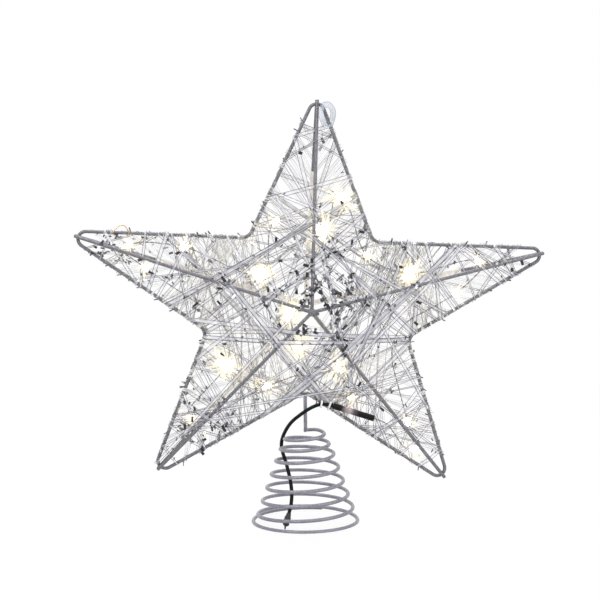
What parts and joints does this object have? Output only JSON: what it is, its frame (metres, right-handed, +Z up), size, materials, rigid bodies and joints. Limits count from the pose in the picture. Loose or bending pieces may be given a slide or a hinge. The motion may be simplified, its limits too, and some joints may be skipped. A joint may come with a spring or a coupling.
{
  "type": "christmas tree topper star",
  "caption": "Pillow-shaped wire star wound with clear ribbon over a string of small lamps, standing on a cone spring that slips over a tree's tip, with a short supply lead.",
  "frame": {"origin": "centre of the spring's base ring, on the ground that the ring stands on", "axes": "+Z up along the spring and its stem, +X to the right seen from the front, the star faces -Y"},
  "size_m": [0.3047, 0.0725, 0.2754],
  "materials": {
    "frame_wire": "glittered silver paint",
    "spring_wire": "glittered silver paint",
    "clear_ribbon": "clear film",
    "string_wire": "thin clear jacket",
    "lamp_resin": "clear resin, lit warm white",
    "sleeve": "black shrink sleeve",
    "lead_jacket": "black jacket",
    "clear_tie": "clear tie",
    "connector": "black moulding"
  },
  "bodies": {
    "base": {"base_spring": "spring_wire", "power_lead": "lead_jacket", "lead_connector": "connector"},
    "star": {"back_hub": "frame_wire", "back_ridge_left": "frame_wire", "back_ridge_lower_left": "frame_wire", "back_ridge_lower_right": "frame_wire", "back_ridge_right": "frame_wire", "back_ridge_top": "frame_wire", "front_hub": "frame_wire", "front_ridge_left": "frame_wire", "front_ridge_lower_left": "frame_wire", "front_ridge_lower_right": "frame_wire", "front_ridge_right": "frame_wire", "front_ridge_top": "frame_wire", "lamp_01": "lamp_resin", "lamp_02": "lamp_resin", "lamp_03": "lamp_resin", "lamp_04": "lamp_resin", "lamp_05": "lamp_resin", "lamp_06": "lamp_resin", "lamp_07": "lamp_resin", "lamp_08": "lamp_resin", "lamp_09": "lamp_resin", "lamp_10": "lamp_resin", "lamp_11": "lamp_resin", "lamp_12": "lamp_resin", "lamp_13": "lamp_resin", "lamp_14": "lamp_resin", "lamp_15": "lamp_resin", "lamp_16": "lamp_resin", "lamp_17": "lamp_resin", "lamp_18": "lamp_resin", "lamp_19": "lamp_resin", "lamp_20": "lamp_resin", "lamp_string": "string_wire", "lead_sleeve": "sleeve", "lead_tie_1": "clear_tie", "lead_tie_2": "clear_tie", "outline_wire": "frame_wire", "ribbon_centre_left": "clear_ribbon", "ribbon_centre_lower_left": "clear_ribbon", "ribbon_centre_lower_right": "clear_ribbon", "ribbon_centre_right": "clear_ribbon", "ribbon_centre_top": "clear_ribbon", "ribbon_inner_left": "clear_ribbon", "ribbon_inner_lower_left": "clear_ribbon", "ribbon_inner_lower_right": "clear_ribbon", "ribbon_inner_right": "clear_ribbon", "ribbon_inner_top": "clear_ribbon", "ribbon_outer_left": "clear_ribbon", "ribbon_outer_lower_left": "clear_ribbon", "ribbon_outer_lower_right": "clear_ribbon", "ribbon_outer_right": "clear_ribbon", "ribbon_outer_top": "clear_ribbon"}
  },
  "joints": [
    {"name": "spring_press", "type": "slide", "parent": "base", "child": "star", "axis": [0, 0, -1], "range_m": [0, 0.025], "stiffness_N_per_m": 300, "springref_m": -0.004, "deforming": ["base_spring", "power_lead"]}
  ]
}
